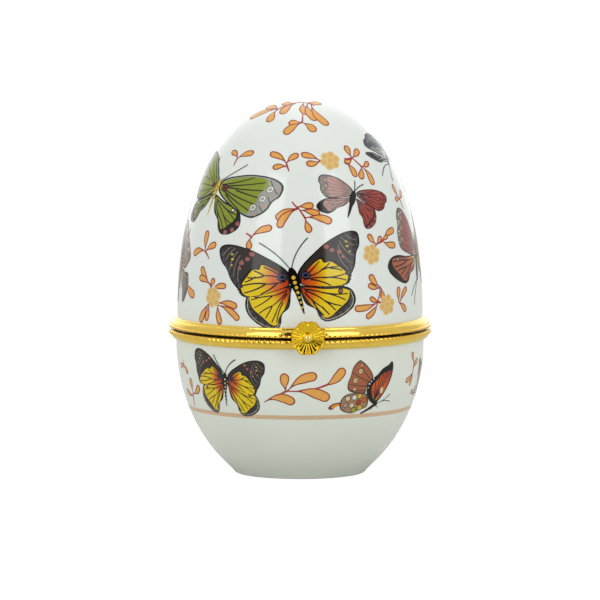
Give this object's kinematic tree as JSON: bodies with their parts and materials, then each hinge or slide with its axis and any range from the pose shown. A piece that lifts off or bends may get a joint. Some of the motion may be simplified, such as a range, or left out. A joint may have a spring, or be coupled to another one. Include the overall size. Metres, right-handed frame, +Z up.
{
  "type": "trinket box",
  "caption": "Egg-shaped hinged porcelain trinket box on a foot ring, with gilt rims, a rear pin hinge and a rosette spring clasp.",
  "frame": {"origin": "centre of the foot ring, at the level it rests on", "axes": "+Z up through the tip of the egg, -Y towards the clasp, +Y towards the hinge, +X to the viewer's right when the clasp faces them"},
  "size_m": [0.0698, 0.0754, 0.1],
  "materials": {
    "bowl_glaze": "clear glaze over white porcelain, unglazed foot ring",
    "lid_glaze": "clear glaze over white porcelain",
    "bedding": "matt gypsum cement",
    "base_mount": "polished and gilt",
    "lid_mount": "polished and gilt",
    "milled_wire": "milled and gilt",
    "hinge": "gilt, brazed on",
    "hinge_wire": "drawn wire",
    "clasp_spring": "hard-rolled, gilt",
    "rosette": "stamped, bright gilt",
    "boss": "burnished gilt"
  },
  "bodies": {
    "base": {"base_shell": "bowl_glaze", "base_cement": "bedding", "base_rim": "base_mount", "base_bead_wire": "milled_wire", "base_hinge_leaf": "hinge", "hinge_pin": "hinge_wire", "catch_nib": "base_mount"},
    "lid": {"lid_shell": "lid_glaze", "lid_cement": "bedding", "lid_rim": "lid_mount", "lid_bead_wire": "milled_wire", "lid_hinge_leaf": "hinge", "clasp_tongue": "clasp_spring", "clasp_flower": "rosette", "clasp_boss": "boss"}
  },
  "joints": [
    {"name": "lid_hinge", "type": "hinge", "parent": "base", "child": "lid", "pos_m": [0, 0.0363, 0.0388], "axis": [-1, 0, 0], "range_deg": [0, 100]}
  ]
}
